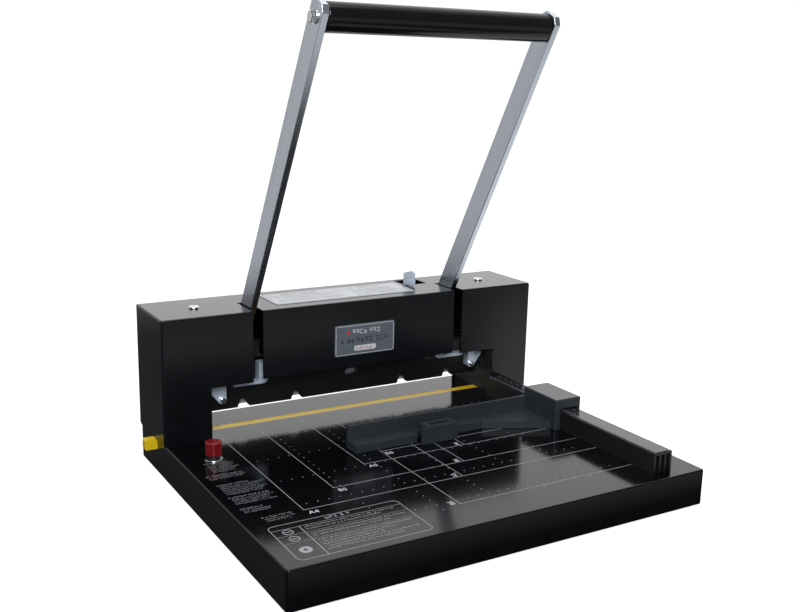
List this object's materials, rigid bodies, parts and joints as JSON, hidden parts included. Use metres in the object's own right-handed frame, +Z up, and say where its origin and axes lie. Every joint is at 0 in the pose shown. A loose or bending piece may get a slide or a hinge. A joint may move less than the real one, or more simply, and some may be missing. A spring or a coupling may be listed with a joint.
{
  "type": "guillotine paper cutter",
  "caption": "Desktop stack cutter: flat bed with a ruled side rail and sliding fence, black head with a blade and clamp, and a twin-arm handle with a roller grip.",
  "frame": {"origin": "middle of the bed's footprint, on the surface that the feet stand on", "axes": "+Z up, +Y to the rear, where the head stands, +X to the right, along the blade"},
  "size_m": [0.414, 0.3402, 0.4221],
  "materials": {
    "black_gloss": "gloss black enamel",
    "steel": "ground and polished flat bar",
    "blade_steel": "ground blade steel",
    "dark_steel": "blackened steel",
    "spring_steel": "bright spring wire",
    "chrome": "bright plated",
    "bronze": "oiled bronze",
    "grip_black": "gloss black tube",
    "stick_yellow": "hard yellow plastic",
    "knob_red": "ribbed red plastic",
    "knob_black": "black plastic",
    "fence_grey": "dark grey moulded plastic",
    "rail_black": "black anodised extrusion",
    "scale_grey": "printed grey film",
    "label_grey": "printed silver-grey film",
    "badge_grey": "printed grey plate",
    "foot_rubber": "black rubber",
    "pad_rubber": "brake rubber"
  },
  "bodies": {
    "frame": {"bed_tray": "black_gloss", "bottom_plate": "dark_steel", "rubber_feet": "foot_rubber", "stick_channel": "dark_steel", "knob_washer": "chrome", "knob_bush": "dark_steel", "left_side_frame": "dark_steel", "right_side_frame": "dark_steel", "frame_bolts": "chrome", "tie_bars": "dark_steel", "pivot_shaft": "chrome", "shaft_rings": "chrome", "return_springs": "spring_steel", "blade_guides": "dark_steel", "front_cover": "black_gloss", "rear_cover": "black_gloss", "cover_screws": "chrome", "rear_cover_screws": "chrome", "badge_plate": "badge_grey", "top_label": "label_grey", "lock_guide": "dark_steel", "side_rail": "rail_black", "rail_bolts": "chrome", "scale_strip": "scale_grey"},
    "handle": {"left_arm": "steel", "right_arm": "steel", "arm_bushes": "bronze", "drive_pins": "chrome", "grip_shaft": "chrome", "arm_bolts": "chrome"},
    "grip": {"roller_grip": "grip_black"},
    "carrier": {"carrier_bar": "dark_steel", "blade": "blade_steel", "blade_bolts": "chrome", "drive_yokes": "dark_steel", "spring_seats": "dark_steel"},
    "clamp": {"clamp_bar": "black_gloss", "clamp_end_brackets": "steel", "clamp_bracket_bolts": "chrome", "clamp_lugs": "steel", "clamp_springs": "spring_steel"},
    "stick": {"cutting_stick": "stick_yellow"},
    "knob": {"knob_stem": "knob_black", "red_knob": "knob_red"},
    "fence": {"fence_block": "fence_grey", "brake_pad": "pad_rubber", "fence_plate": "fence_grey"},
    "fence_lever": {"fence_grip": "fence_grey"},
    "lock": {"lock_lever": "steel"}
  },
  "joints": [
    {"name": "handle_swing", "type": "hinge", "parent": "frame", "child": "handle", "pos_m": [0.0008, 0.1482, 0.097], "axis": [1, 0, 0], "range_deg": [0, 57.29], "stiffness_Nm_per_rad": 2, "springref_deg": -126.05},
    {"name": "grip_roll", "type": "hinge", "parent": "handle", "child": "grip", "pos_m": [0.0008, -0.0285, 0.40755], "axis": [1, 0, 0], "continuous": true},
    {"name": "blade_drop", "type": "slide", "parent": "frame", "child": "carrier", "axis": [0, 0, -1], "range_m": [0, 0.0212]},
    {"name": "clamp_float", "type": "slide", "parent": "carrier", "child": "clamp", "axis": [0, 0, 1], "range_m": [0, 0.003]},
    {"name": "stick_pull", "type": "slide", "parent": "frame", "child": "stick", "axis": [-1, 0, 0], "range_m": [0, 0.36]},
    {"name": "knob_turn", "type": "hinge", "parent": "frame", "child": "knob", "pos_m": [-0.1719, 0.0479, 0.034], "axis": [0, 0, 1], "range_deg": [-720, 720]},
    {"name": "fence_slide", "type": "slide", "parent": "frame", "child": "fence", "axis": [0, 1, 0], "range_m": [-0.124, 0.069]},
    {"name": "fence_pinch", "type": "slide", "parent": "fence", "child": "fence_lever", "axis": [0, 1, 0], "range_m": [0, 0.003], "stiffness_N_per_m": 400, "springref_m": -0.003},
    {"name": "lock_shift", "type": "slide", "parent": "frame", "child": "lock", "axis": [1, 0, 0], "range_m": [0, 0.018]}
  ],
  "couplings": [
    {"joint": "blade_drop", "follows": "handle_swing", "m_per_rad": 0.0211},
    {"joint": "clamp_float", "follows": "handle_swing", "m_per_rad": 0.0029}
  ]
}
